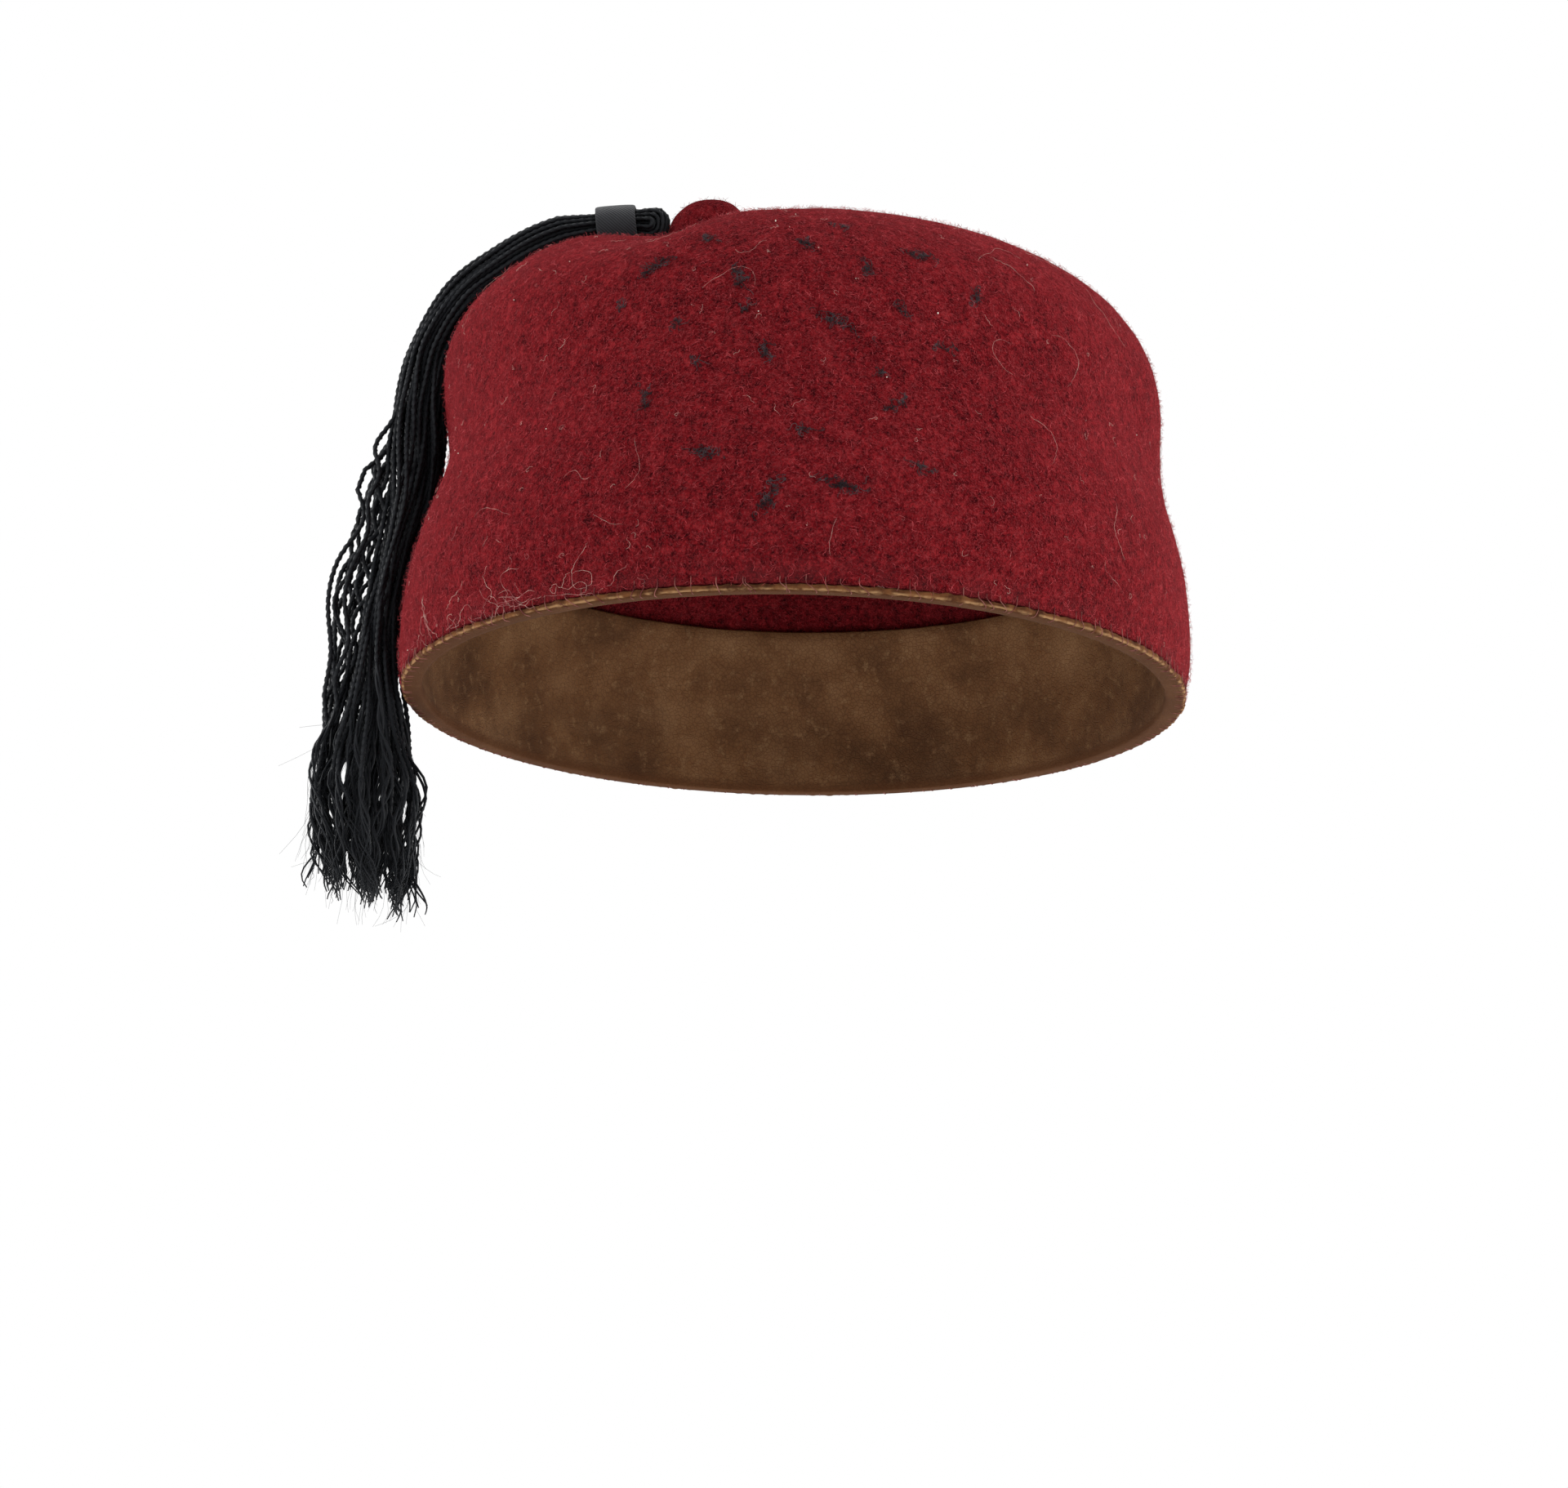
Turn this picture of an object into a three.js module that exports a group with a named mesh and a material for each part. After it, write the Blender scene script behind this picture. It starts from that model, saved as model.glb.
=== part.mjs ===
// A soft felt fez: one felt body with a moulded pip on top, a leather sweatband whose edge is
// turned under the felt's edge, and a corded tassel, bound with a ribbon, that starts against
// the pip and hangs down the wearer's right side to below the edge.
// Millimetres, +Z up. The origin is the centre of the opening that the head goes into, level
// with the sweatband's lower edge. -Y is the front and +X the wearer's left.
import * as THREE from "three";

// Driving dimensions.
const HEAD_GIRTH = 570; // inside circumference of the sweatband
const LENGTH_TO_WIDTH = 1.19; // of the oval that the sweatband makes round a head
const FELT = 2.6; // felt wall
const LEATHER = 1.3; // sweatband leather
const GAP = 0.3; // between pieces that touch on the real hat
const CURVED_GAP = 0.55; // the same where both faces are curved, so that facets stay clear
const LIP_SET_BACK = 0.4; // of the sweatband's turned-under edge from the felt's face
const HEIGHT = 104; // of the crown at the foot of its pip
const PIP = { x: -20.4, y: 1.5, height: 11.8 };
const RIBBON = { length: 8.8, thickness: 0.8 };
const BAND_TOP_ROW = 4; // the row of SECTIONS that the sweatband reaches up to

// The oval's reaches inside the sweatband: pi * (a + b) is its girth within 0.3%.
const BAND_REACH_X = HEAD_GIRTH / Math.PI / (1 + LENGTH_TO_WIDTH);
const BAND_REACH_Y = BAND_REACH_X * LENGTH_TO_WIDTH;
const WALL = LEATHER + CURVED_GAP + FELT;
const RIM_REACH_X = BAND_REACH_X + WALL;
const RIM_REACH_Y = BAND_REACH_Y + WALL;
const FELT_EDGE = LEATHER + GAP; // height of the felt's cut edge, above the turned leather

// How finely the surfaces are divided.
const AROUND = 64;
const AROUND_BUNDLE = 20;

// The outer surface of the felt, a row for each level section. height is a share of the way
// from the felt's edge to HEIGHT; width, front and back are shares of the rim's reach from the
// row's own centre, which lies that many mm to the side of the axis.
const SECTIONS = [
  { height: 0.0, centre: 0.4, width: 0.985, front: 0.985, back: 0.985 },
  { height: 0.07, centre: 0.4, width: 0.998, front: 1.0, back: 1.0 },
  { height: 0.17, centre: 0.6, width: 0.994, front: 1.0, back: 0.995 },
  { height: 0.27, centre: 0.7, width: 0.977, front: 0.985, back: 0.97 },
  { height: 0.37, centre: 0.8, width: 0.937, front: 0.96, back: 0.935 },
  { height: 0.47, centre: 1.2, width: 0.913, front: 0.93, back: 0.905 },
  { height: 0.56, centre: 1.4, width: 0.912, front: 0.905, back: 0.885 },
  { height: 0.65, centre: 1.0, width: 0.914, front: 0.88, back: 0.87 },
  { height: 0.73, centre: 0.0, width: 0.897, front: 0.84, back: 0.84 },
  { height: 0.81, centre: -0.6, width: 0.84, front: 0.77, back: 0.78 },
  { height: 0.88, centre: -1.8, width: 0.735, front: 0.66, back: 0.68 },
  { height: 0.935, centre: -4.0, width: 0.59, front: 0.51, back: 0.54 },
  { height: 0.97, centre: -7.5, width: 0.42, front: 0.36, back: 0.38 },
  { height: 0.993, centre: -14.0, width: 0.235, front: 0.215, back: 0.22 },
];

// The pip, a row for each level: height above the crown as a share of the pip's own, and its
// radius in mm.
const PIP_SECTIONS = [
  { height: 0.1, radius: 9.2 },
  { height: 0.28, radius: 8.6 },
  { height: 0.5, radius: 8.4 },
  { height: 0.72, radius: 7.4 },
  { height: 0.9, radius: 5.0 },
];

// Soft dents in the felt, each pushed towards the middle of the hat and fading out over its
// radius, in mm.
const DENTS = [
  { x: -30, y: -36, z: 99, radius: 24, depth: 6.2 }, // the valley in front of the pip
  { x: -29, y: -57, z: 90, radius: 20, depth: 3.1 }, // its sharper mouth
  { x: -8, y: -57, z: 95, radius: 19, depth: 1.4 }, // its side towards the front
  { x: -31, y: -8, z: 105, radius: 20, depth: 1.0 }, // the hollow under the tassel's head
  { x: -32, y: -60, z: 88, radius: 24, depth: 4.5 }, // and on down the front
  { x: -80, y: -12, z: 50, radius: 28, depth: 2.2 }, // the waist on the wearer's right
  { x: 70, y: -44, z: 56, radius: 24, depth: 1.6 }, // a hollow on the wearer's left
  { x: 24, y: 44, z: 103, radius: 40, depth: 3.0 }, // the top sagging behind the pip
  { x: -34, y: 84, z: 58, radius: 34, depth: 2.2 }, // a hollow at the back
];
const MIDDLE = new THREE.Vector3(0, 0, 0.45 * HEIGHT);

// The tassel's bundle of cords, a row for each station from the looped head beside the pip,
// over the shoulder and down to the cut ends: its middle, half its thickness away from the hat
// and half its width along the hat.
const BUNDLE = [
  { x: -31.5, y: 0.0, z: 107.6, thick: 3.7, wide: 4.8 },
  { x: -34.0, y: 0.0, z: 108.1, thick: 4.3, wide: 6.0 },
  { x: -37.8, y: 0.2, z: 108.4, thick: 4.4, wide: 6.2 },
  { x: -44.0, y: 0.5, z: 107.8, thick: 4.4, wide: 6.4 },
  { x: -51.0, y: 1.0, z: 105.7, thick: 4.8, wide: 7.5 },
  { x: -59.0, y: 2.0, z: 102.6, thick: 5.2, wide: 8.5 },
  { x: -67.2, y: 4.0, z: 97.9, thick: 5.4, wide: 9.5 },
  { x: -75.5, y: 6.0, z: 91.5, thick: 5.2, wide: 10.5 },
  { x: -82.3, y: 8.0, z: 81.0, thick: 4.9, wide: 11.5 },
  { x: -84.7, y: 10.0, z: 70.0, thick: 6.0, wide: 12.5 },
  { x: -86.4, y: 11.0, z: 58.0, thick: 7.2, wide: 13.5 },
  { x: -89.0, y: 12.0, z: 46.0, thick: 7.8, wide: 14.0 },
  { x: -92.7, y: 12.5, z: 34.0, thick: 7.6, wide: 14.5 },
  { x: -95.4, y: 13.0, z: 22.0, thick: 8.0, wide: 15.0 },
  { x: -95.2, y: 13.0, z: 9.0, thick: 7.8, wide: 15.0 },
  { x: -94.8, y: 13.0, z: -5.0, thick: 10.4, wide: 15.5 },
  { x: -94.5, y: 13.0, z: -18.0, thick: 13.8, wide: 16.0 },
  { x: -94.5, y: 13.0, z: -30.0, thick: 13.0, wide: 15.5 },
  { x: -92.5, y: 13.0, z: -40.0, thick: 10.0, wide: 13.0 },
];
const BUNDLE_START = new THREE.Vector3(-30.4, 0, 107.4);
const BUNDLE_END = new THREE.Vector3(-91, 13, -46);
const RIBBON_MIDDLE = 2.5; // in rows of BUNDLE
const RIBBON_GAP = 0.75; // round the curved bundle, where the ribbon runs straight

function dented(point) {
  const moved = point.clone();
  for (const { x, y, z, radius, depth } of DENTS) {
    const away = point.distanceTo(new THREE.Vector3(x, y, z)) / radius;
    if (away >= 1) continue;
    const push = MIDDLE.clone().sub(point).normalize();
    moved.addScaledVector(push, depth * Math.pow(Math.cos((away * Math.PI) / 2), 2));
  }
  return moved;
}

// The level sections from the rim up, as ovals in mm.
function sectionOvals(withPip) {
  const ovals = SECTIONS.map((row) => ({
    x: row.centre,
    z: FELT_EDGE + row.height * (HEIGHT - FELT_EDGE),
    width: row.width * RIM_REACH_X,
    front: row.front * RIM_REACH_Y,
    back: row.back * RIM_REACH_Y,
  }));
  const rounds = PIP_SECTIONS.map(({ height, radius }) => ({
    x: PIP.x,
    z: HEIGHT + height * PIP.height,
    width: radius,
    front: radius,
    back: radius,
  }));
  return withPip ? [...ovals, ...rounds] : ovals;
}

// The line up the outside of the hat at one bearing, from the rim to the top.
function meridian(bearing, withPip) {
  const side = Math.cos(bearing);
  const fore = Math.sin(bearing);
  const points = sectionOvals(withPip).map((oval) => {
    const reach = fore < 0 ? oval.front : oval.back;
    return new THREE.Vector3(oval.x + oval.width * side, reach * fore, oval.z);
  });
  points.push(new THREE.Vector3(PIP.x, PIP.y, HEIGHT + (withPip ? PIP.height : 0)));
  return new THREE.CatmullRomCurve3(points, false, "centripetal");
}

// Rings of points up the felt's outer surface from the rim, as far as one row of SECTIONS or
// PIP_SECTIONS; steps is the number of rings above the first.
function outerRings({ lastRow, steps, withPip }) {
  const rowCount = SECTIONS.length + (withPip ? PIP_SECTIONS.length : 0);
  const curves = Array.from({ length: AROUND }, (_, i) =>
    meridian((i / AROUND) * 2 * Math.PI, withPip),
  );
  return Array.from({ length: steps + 1 }, (_, k) =>
    curves.map((curve) => dented(curve.getPoint(((k / steps) * lastRow) / rowCount))),
  );
}

// The same rings moved into the wall by a depth, square to the surface.
function sunk(rings, depth) {
  return rings.map((ring, k) =>
    ring.map((point, i) => {
      const east = ring[(i + 1) % AROUND].clone().sub(ring[(i + AROUND - 1) % AROUND]);
      const above = rings[Math.min(k + 1, rings.length - 1)][i];
      const below = rings[Math.max(k - 1, 0)][i];
      const normal = east.cross(above.clone().sub(below)).normalize();
      return point.clone().addScaledVector(normal, -depth);
    }),
  );
}

const atHeight = (ring, z) => ring.map((point) => point.clone().setZ(z));

// A closed mesh through rings of as many points each, which run anticlockwise seen from the
// side that the rings move towards. With ends, each end is fanned shut on its own point;
// without, the last ring meets the first.
function loft(rings, ends) {
  const count = rings[0].length;
  const points = rings.flat();
  const faces = [];
  const spans = rings.length - (ends ? 1 : 0);
  for (let k = 0; k < spans; k++) {
    const a = k * count;
    const b = ((k + 1) % rings.length) * count;
    for (let i = 0; i < count; i++) {
      const j = (i + 1) % count;
      faces.push(a + i, a + j, b + i, a + j, b + j, b + i);
    }
  }
  if (ends) {
    const first = points.push(ends[0]) - 1;
    const last = points.push(ends[1]) - 1;
    const b = (rings.length - 1) * count;
    for (let i = 0; i < count; i++) {
      const j = (i + 1) % count;
      faces.push(first, j, i, last, b + i, b + j);
    }
  }
  const geometry = new THREE.BufferGeometry().setFromPoints(points);
  geometry.setIndex(faces);
  geometry.computeVertexNormals();
  return geometry;
}

// The felt: an outer surface up over the pip and an inner one that passes under it.
function feltCrown() {
  const lastPipRow = SECTIONS.length + PIP_SECTIONS.length - 1;
  const lastRow = SECTIONS.length - 1;
  const outer = outerRings({ lastRow: lastPipRow, steps: 27, withPip: true });
  const inner = sunk(outerRings({ lastRow, steps: lastRow }), FELT);
  inner[0] = atHeight(inner[0], FELT_EDGE);
  const insideTop = new THREE.Vector3(PIP.x, PIP.y, HEIGHT - FELT);
  const outsideTop = new THREE.Vector3(PIP.x, PIP.y, HEIGHT + PIP.height);
  return loft([...inner.reverse(), ...outer], [insideTop, outsideTop]);
}

// The sweatband: a leather strip up the inside of the felt, with its lower edge turned
// outwards under the felt's cut edge.
function sweatband() {
  const felt = outerRings({ lastRow: BAND_TOP_ROW + 1, steps: BAND_TOP_ROW + 1 });
  const outer = sunk(felt, FELT + CURVED_GAP).slice(0, -1);
  const inner = sunk(felt, WALL).slice(0, -1);
  const lip = sunk(felt, LIP_SET_BACK)[0];
  return loft([
    atHeight(lip, 0),
    atHeight(lip, LEATHER),
    atHeight(outer[0], LEATHER),
    ...outer.slice(1),
    ...inner.slice(1).reverse(),
    atHeight(inner[0], 0),
  ]);
}

// The bundle's oval section at a place along it, counted in rows, made larger by a margin.
const bundleRoute = new THREE.CatmullRomCurve3(
  BUNDLE.map(({ x, y, z }) => new THREE.Vector3(x, y, z)),
);
const bundleSize = new THREE.CatmullRomCurve3(
  BUNDLE.map(({ thick, wide }) => new THREE.Vector3(thick, wide, 0)),
);
function bundleRing(row, margin, shift = 0) {
  const along = row / (BUNDLE.length - 1);
  const tangent = bundleRoute.getTangent(along);
  const middle = bundleRoute.getPoint(along).addScaledVector(tangent, shift);
  const { x: thick, y: wide } = bundleSize.getPoint(along);
  const across = new THREE.Vector3(0, 1, 0).projectOnPlane(tangent).normalize();
  const outwards = tangent.clone().cross(across);
  return Array.from({ length: AROUND_BUNDLE }, (_, i) => {
    const angle = (i / AROUND_BUNDLE) * 2 * Math.PI;
    return middle
      .clone()
      .addScaledVector(across, (wide + margin) * Math.cos(angle))
      .addScaledVector(outwards, (thick + margin) * Math.sin(angle));
  });
}

function tasselCords() {
  const steps = 34;
  const rings = Array.from({ length: steps + 1 }, (_, k) =>
    bundleRing((k / steps) * (BUNDLE.length - 1), 0),
  );
  return loft(rings, [BUNDLE_START, BUNDLE_END]);
}

function tasselRibbon() {
  const half = RIBBON.length / 2;
  const ring = (margin, shift) => bundleRing(RIBBON_MIDDLE, margin, shift);
  const inside = RIBBON_GAP;
  const outside = RIBBON_GAP + RIBBON.thickness;
  return loft([
    ring(outside, -half),
    ring(outside, half),
    ring(inside, half),
    ring(inside, -half),
  ]);
}

const part = new THREE.Group();
function add(name, geometry, color, roughness) {
  const material = new THREE.MeshStandardMaterial({ color, roughness, metalness: 0 });
  const mesh = new THREE.Mesh(geometry, material);
  mesh.name = name;
  part.add(mesh);
}
add("felt_crown", feltCrown(), 0x7a1522, 0.95);
add("sweatband", sweatband(), 0x6b4226, 0.6);
add("tassel_cords", tasselCords(), 0x0d1016, 0.7);
add("tassel_ribbon", tasselRibbon(), 0x1b1d21, 0.65);

export default part;
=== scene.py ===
"""A soft felt fez with a leather sweatband and a corded tassel, finished around its CAD frame."""

import math

import bpy
import numpy as np
from mathutils import Matrix, Vector, noise
from mathutils.bvhtree import BVHTree


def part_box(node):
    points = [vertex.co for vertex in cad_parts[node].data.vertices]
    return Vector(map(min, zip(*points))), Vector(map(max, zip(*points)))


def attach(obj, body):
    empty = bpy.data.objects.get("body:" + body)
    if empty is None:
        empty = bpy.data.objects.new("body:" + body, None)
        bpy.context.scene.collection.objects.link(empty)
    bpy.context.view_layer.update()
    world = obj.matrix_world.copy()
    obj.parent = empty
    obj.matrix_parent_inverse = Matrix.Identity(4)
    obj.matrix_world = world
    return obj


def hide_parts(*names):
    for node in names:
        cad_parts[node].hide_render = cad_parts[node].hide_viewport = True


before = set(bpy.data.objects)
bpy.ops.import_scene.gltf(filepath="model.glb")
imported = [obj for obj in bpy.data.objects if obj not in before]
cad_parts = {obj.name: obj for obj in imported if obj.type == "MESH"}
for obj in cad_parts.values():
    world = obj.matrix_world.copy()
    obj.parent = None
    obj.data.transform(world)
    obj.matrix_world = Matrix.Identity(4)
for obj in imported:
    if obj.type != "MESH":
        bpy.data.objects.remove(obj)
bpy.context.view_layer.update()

MM = 0.001
TURN = 2 * math.pi
MIDDLE = Vector((0, 0, 47 * MM))  # of the hat, for telling its outside from its inside
FELT_LOW, FELT_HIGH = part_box("felt_crown")
FELT_EDGE = FELT_LOW.z  # height of the felt's cut edge


def table(columns, *rows):
    """Rows of values under named columns, as one dictionary a row."""
    return [dict(zip(columns.split(), row)) for row in rows]


# ----------------------------
# Camera, light and stage
# ----------------------------

FLOOR = -300 * MM
CAMERA = {"place": (-1.5 * MM, -1053 * MM, -239 * MM), "rise": 12.3, "roll": 1.0, "lens": 112.5}


def add_camera():
    camera = bpy.data.objects.new("camera", bpy.data.cameras.new("camera"))
    bpy.context.collection.objects.link(camera)
    camera.location = CAMERA["place"]
    upwards = Matrix.Rotation(math.radians(90 + CAMERA["rise"]), 3, "X")
    rolled = Matrix.Rotation(math.radians(CAMERA["roll"]), 3, "Z")
    camera.rotation_euler = (upwards @ rolled).to_euler()
    camera.data.lens = CAMERA["lens"]
    camera.data.sensor_width = 36
    camera.data.clip_start = 0.05
    bpy.context.scene.camera = camera


# Soft boxes: where each stands, its size in metres and its power in watts. All face the hat. The
# edge boxes stand behind its sides, so that the fuzz round its outline lights up.
SOFT_BOXES = table(
    "name place size power",
    ("left_box", (-1.3, -0.5, 0.35), 1.1, 9.0),
    ("right_box", (1.3, -0.3, 0.25), 1.1, 11.0),
    ("top_box", (-0.1, 0.3, 1.3), 1.2, 9.0),
    ("left_edge_box", (-1.15, 0.75, 0.25), 0.9, 10.0),
    ("right_edge_box", (1.15, 0.75, 0.25), 0.9, 15.0),
)


def add_lights():
    for row in SOFT_BOXES:
        light = bpy.data.lights.new(row["name"], "AREA")
        light.size = row["size"]
        light.energy = row["power"]
        lamp = bpy.data.objects.new(row["name"], light)
        bpy.context.collection.objects.link(lamp)
        lamp.location = row["place"]
        towards = MIDDLE - lamp.location
        lamp.rotation_euler = towards.to_track_quat("-Z", "Y").to_euler()
    world = bpy.data.worlds.new("white_room")
    world.use_nodes = True
    world.node_tree.nodes["Background"].inputs["Color"].default_value = (1, 1, 1, 1)
    world.node_tree.nodes["Background"].inputs["Strength"].default_value = 1.0
    bpy.context.scene.world = world
    bpy.context.scene.view_settings.view_transform = "Standard"


def add_floor():
    deselect_all()
    bpy.ops.mesh.primitive_plane_add(size=8, location=(0, 0, FLOOR))
    floor = bpy.context.object
    floor.name = "floor"
    floor.data.materials.append(floor_finish())


# ----------------------------
# Material maths
# ----------------------------


class Value:
    """A number in a material's node tree. Arithmetic on it adds the Math nodes."""

    def __init__(self, finish, socket):
        self.finish = finish
        self.socket = socket

    def math(self, operation, *others):
        return self.finish.node("ShaderNodeMath", {"operation": operation}, (self, *others))

    def __add__(self, other):
        return self.math("ADD", other)

    __radd__ = __add__

    def __sub__(self, other):
        return self.math("SUBTRACT", other)

    def __rsub__(self, other):
        return (self * -1).math("ADD", other)

    def __mul__(self, other):
        return self.math("MULTIPLY", other)

    __rmul__ = __mul__

    def between(self, low, high):
        """0 below low, 1 above high, and a smooth step in between. Low may be the larger."""
        settings = {"interpolation_type": "SMOOTHSTEP"}
        values = {"Value": self, "From Min": low, "From Max": high}
        return self.finish.node("ShaderNodeMapRange", settings, values)

    def ridge(self, sharpness):
        """1 where the value crosses a half, falling away steeply to 0 on both sides."""
        away = (self - 0.5).math("ABSOLUTE")
        return (1 - away * sharpness).math("MAXIMUM", 0.0)


class Finish:
    """A material around one Principled shader. Constants go on the shader's own sockets."""

    def __init__(self, name, **constants):
        self.material = bpy.data.materials.new(name)
        self.material.use_nodes = True
        self.tree = self.material.node_tree
        self.shader = self.tree.nodes["Principled BSDF"]
        self.set(self.shader, {k.replace("_", " "): v for k, v in constants.items()})
        self.place = self.node("ShaderNodeTexCoord", output="Object")

    def set(self, node, values):
        pairs = values.items() if isinstance(values, dict) else enumerate(values)
        for key, value in pairs:
            if isinstance(value, Value):
                self.tree.links.new(value.socket, node.inputs[key])
            else:
                node.inputs[key].default_value = value

    def node(self, kind, settings=None, values=(), output=0):
        """A node of any kind: settings first, then the values or links of its sockets."""
        node = self.tree.nodes.new(kind)
        for key, value in (settings or {}).items():
            if key == "stops":
                for extra in value[2:]:
                    node.color_ramp.elements.new(extra[0])
                for element, (position, colour) in zip(node.color_ramp.elements, value):
                    element.position = position
                    element.color = (*colour, 1)
            else:
                setattr(node, key, value)
        self.set(node, values)
        return Value(self, node.outputs[output])

    def noise(self, size, detail=2.0, rough=0.5, warp=0.0, at=None):
        """Cloudy noise whose features are about that size, in metres."""
        values = {
            "Vector": at or self.place,
            "Scale": 1 / size,
            "Detail": detail,
            "Roughness": rough,
            "Distortion": warp,
        }
        return self.node("ShaderNodeTexNoise", None, values)

    def height(self):
        return self.node("ShaderNodeSeparateXYZ", None, (self.place,), output="Z")

    def ramp(self, value, stops):
        return self.node("ShaderNodeValToRGB", {"stops": stops}, (value,))

    def mix(self, share, first, second):
        """One colour into another by a share."""
        colours = [c if isinstance(c, Value) else (*c, 1) for c in (first, second)]
        settings = {"data_type": "RGBA"}
        values = {0: share, 6: colours[0], 7: colours[1]}
        return self.node("ShaderNodeMix", settings, values, output=2)

    def bump(self, height, distance, strength=1.0):
        values = {"Height": height, "Distance": distance, "Strength": strength}
        self.set(self.shader, {"Normal": self.node("ShaderNodeBump", None, values)})


# ----------------------------
# Finishes
# ----------------------------


PIP_MIDDLE = (-20.4 * MM, 1.5 * MM, 112 * MM)


def felt_finish():
    felt = Finish(
        "maroon_felt",
        Roughness=0.95,
        Specular_IOR_Level=0.01,
        Sheen_Weight=0.30,
        Sheen_Roughness=0.14,
        Sheen_Tint=(1.0, 0.10, 0.12, 1),
    )
    patches = felt.noise(34 * MM, 2)
    mottle = felt.noise(3.4 * MM, 3, 0.55)
    clumps = felt.noise(1.15 * MM, 3, 0.6, 0.6)
    grain = felt.noise(0.45 * MM, 2, 0.6)
    fibres = felt.noise(1.5 * MM, 2, 0.5, 2.4).ridge(16) * grain.between(0.35, 0.6)
    tone = 0.5 + (clumps - 0.5) * 1.5 + (mottle - 0.5) * 0.75
    tone = tone + (patches - 0.5) * 0.3 + (grain - 0.5) * 0.9
    wool = felt.ramp(
        tone,
        [
            (0.14, (0.028, 0.0018, 0.0030)),
            (0.34, (0.074, 0.0034, 0.0052)),
            (0.56, (0.120, 0.0056, 0.0082)),
            (0.86, (0.210, 0.0150, 0.0185)),
        ],
    )
    wool = felt.mix(fibres * 0.36, wool, (0.44, 0.075, 0.085))
    dusty = felt.height().between(9 * MM, 1.5 * MM) * felt.noise(5 * MM, 3).between(0.35, 0.7)
    wool = felt.mix(dusty * 0.35, wool, (0.085, 0.018, 0.020))
    # Painted shade: the felt round the pip is darkened as if shadowed by the tassel's head.
    wool = felt.mix(near(felt, PIP_MIDDLE, 11 * MM) * 0.85, wool, (0.052, 0.0020, 0.0040))
    felt.set(felt.shader, {"Base Color": wool})
    felt.bump(clumps * 0.8 + grain * 0.5 + fibres * 0.5 + mottle * 0.6, 0.8 * MM, 0.95)
    return felt.material


def near(finish, middle, reach):
    """1 at a point of the hat, fading to 0 at that reach from it."""
    gap = finish.node(
        "ShaderNodeVectorMath", {"operation": "DISTANCE"}, (finish.place, middle), output="Value"
    )
    return gap.between(reach, reach * 0.55)


def wool_fibre_finish(name, low, high):
    """Single wool fibres, whose colour drifts between two tones from one to the next."""
    fibre = Finish(name, Roughness=0.8, Specular_IOR_Level=0.1)
    share = fibre.noise(2.2 * MM, 1).between(0.3, 0.7)
    fibre.set(fibre.shader, {"Base Color": fibre.mix(share, low, high)})
    return fibre.material


def leather_finish():
    leather = Finish("sweatband_leather", Specular_IOR_Level=0.05)
    cloud = leather.noise(16 * MM, 4, 0.6)
    grain = leather.node(
        "ShaderNodeTexVoronoi",
        {"feature": "DISTANCE_TO_EDGE"},
        {"Vector": leather.place, "Scale": 1 / (0.9 * MM)},
    ).between(0.0, 0.12)
    scuffs = leather.noise(2.6 * MM, 4, 0.7).between(0.52, 0.72)
    low_down = leather.height().between(30 * MM, 4 * MM)
    tan = leather.ramp(
        cloud,
        [
            (0.25, (0.070, 0.030, 0.013)),
            (0.50, (0.135, 0.062, 0.026)),
            (0.78, (0.215, 0.112, 0.052)),
        ],
    )
    sweat = low_down * leather.noise(22 * MM, 3).between(0.35, 0.65)
    tan = leather.mix(sweat * 0.55, tan, (0.040, 0.018, 0.010))
    tan = leather.mix(scuffs * 0.4, tan, (0.27, 0.155, 0.078))
    tan = leather.mix((1 - grain) * 0.35, tan, (0.035, 0.015, 0.008))
    # Painted shade: the band's lowest few mm, where it turns under, are darkened as if in shadow; the
    # same band is also made rougher.
    painted_shade_at_fold = leather.height().between(3.2 * MM, 0.9 * MM)
    tan = leather.mix(painted_shade_at_fold * 0.8, tan, (0.058, 0.022, 0.009))
    rough = 0.62 + scuffs * 0.2 + painted_shade_at_fold * 0.35
    leather.set(leather.shader, {"Base Color": tan, "Roughness": rough})
    leather.bump(grain * 0.5 + cloud * 0.9 - scuffs * 0.2, 0.25 * MM, 0.6)
    return leather.material


def leather_edge_finish():
    """The turned edge: brown, with a worn tan line where it bulges out below the felt, and painted
    shade on its underside.
    """
    edge = Finish("sweatband_edge", Roughness=0.95, Specular_IOR_Level=0.03)
    cloud = edge.noise(3.0 * MM, 3, 0.6)
    brown = edge.mix(cloud.between(0.3, 0.7), (0.040, 0.014, 0.007), (0.125, 0.050, 0.019))
    worn = edge.noise(3.4 * MM, 3, 0.6).between(0.36, 0.58)
    raw = edge.height().between(0.72 * MM, 0.28 * MM) * worn
    # Painted shade: the underside of the rolled edge is darkened as if in shadow.
    shaded_underside = edge.height().between(0.22 * MM, 0.06 * MM)
    tan = edge.mix(raw * 0.85, brown, (0.29, 0.165, 0.078))
    edge.set(edge.shader, {"Base Color": edge.mix(shaded_underside * 0.7, tan, (0.050, 0.019, 0.009))})
    edge.bump(edge.noise(0.6 * MM, 3) + cloud * 0.8, 0.25 * MM, 0.8)
    return edge.material


def cord_finish():
    cord = Finish(
        "tassel_cord",
        Roughness=0.62,
        Specular_IOR_Level=0.16,
        Sheen_Weight=0.015,
        Sheen_Roughness=0.4,
    )
    strands = cord.noise(1.4 * MM, 3, 0.6)
    blue_black = cord.mix(strands, (0.0022, 0.0027, 0.0038), (0.0085, 0.0100, 0.0130))
    cord.set(cord.shader, {"Base Color": blue_black})
    cord.bump(cord.noise(0.22 * MM, 2), 0.06 * MM, 0.6)
    return cord.material


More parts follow.
